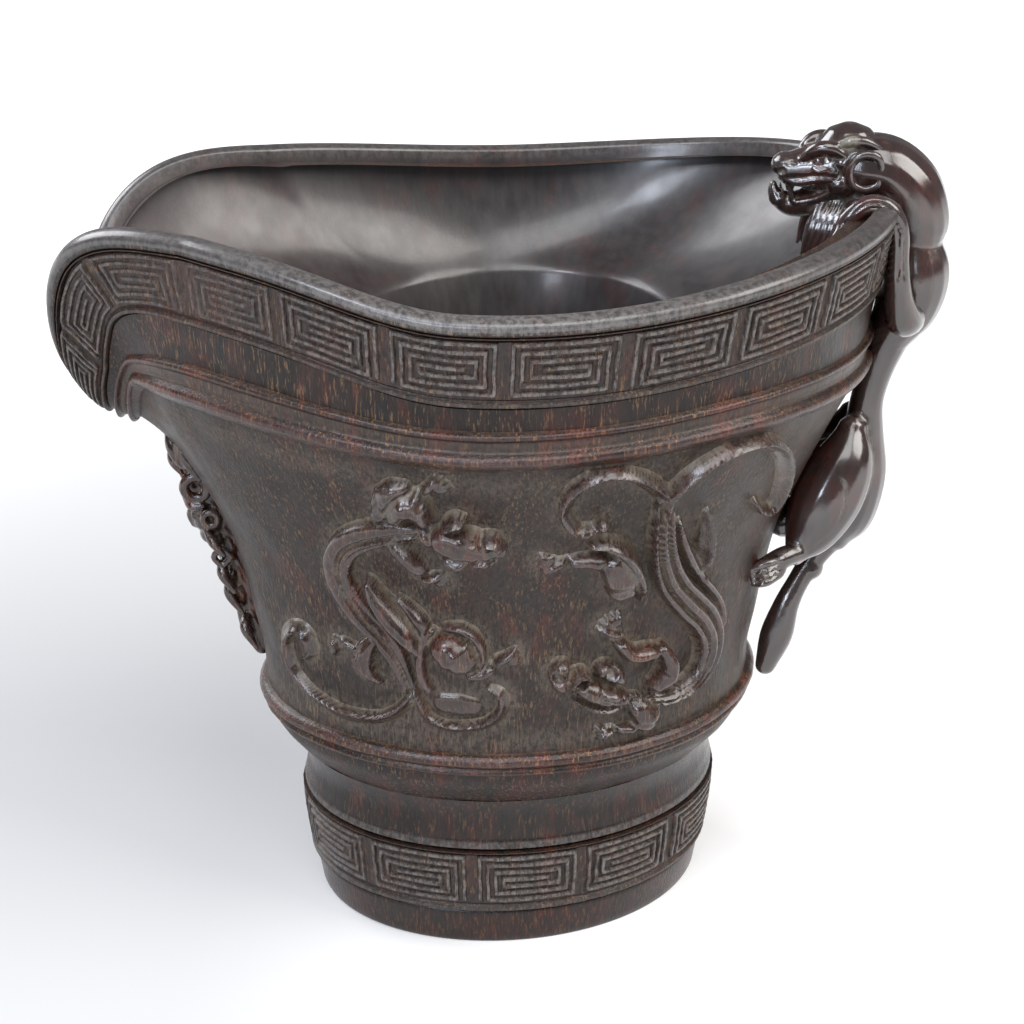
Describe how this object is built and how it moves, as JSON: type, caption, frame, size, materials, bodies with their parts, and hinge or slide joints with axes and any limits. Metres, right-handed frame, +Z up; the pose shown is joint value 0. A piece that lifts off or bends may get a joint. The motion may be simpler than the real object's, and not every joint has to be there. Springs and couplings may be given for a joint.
{
  "type": "libation cup",
  "caption": "Archaistic horn libation cup with a flared oval mouth, channel spout, key-fret bands, relief chilong on the walls and a climbing chilong handle.",
  "frame": {"origin": "middle of the plan box, on the plane the foot rests on", "axes": "+X towards the handle, -X towards the spout, -Y the pictured side, +Z up"},
  "size_m": [0.148, 0.1046, 0.1388],
  "materials": {
    "dark_horn": "dark carved horn, satin, fine upright fibres, worn grey on the lip",
    "carved_horn": "dark carved horn, red-brown where thin, grey dust in the recesses",
    "polished_horn": "dark carved horn, handled to a soft polish"
  },
  "bodies": {
    "root": {"vessel": "dark_horn", "foot": "dark_horn", "rim_fret_band": "carved_horn", "foot_fret_band": "carved_horn", "upper_string_band": "carved_horn", "lower_string_band": "carved_horn", "front_spout_chilong": "carved_horn", "back_spout_chilong": "carved_horn", "front_handle_chilong": "carved_horn", "back_handle_chilong": "carved_horn", "handle_chilong_body": "polished_horn", "handle_chilong_head": "polished_horn", "handle_chilong_foreleg_front": "polished_horn", "handle_chilong_foreleg_back": "polished_horn", "handle_chilong_hindleg_front": "polished_horn", "handle_chilong_hindleg_back": "polished_horn", "handle_chilong_tail": "polished_horn", "spout_carving_crest": "carved_horn", "spout_carving_mask": "carved_horn", "spout_carving_stem": "carved_horn"}
  },
  "joints": []
}
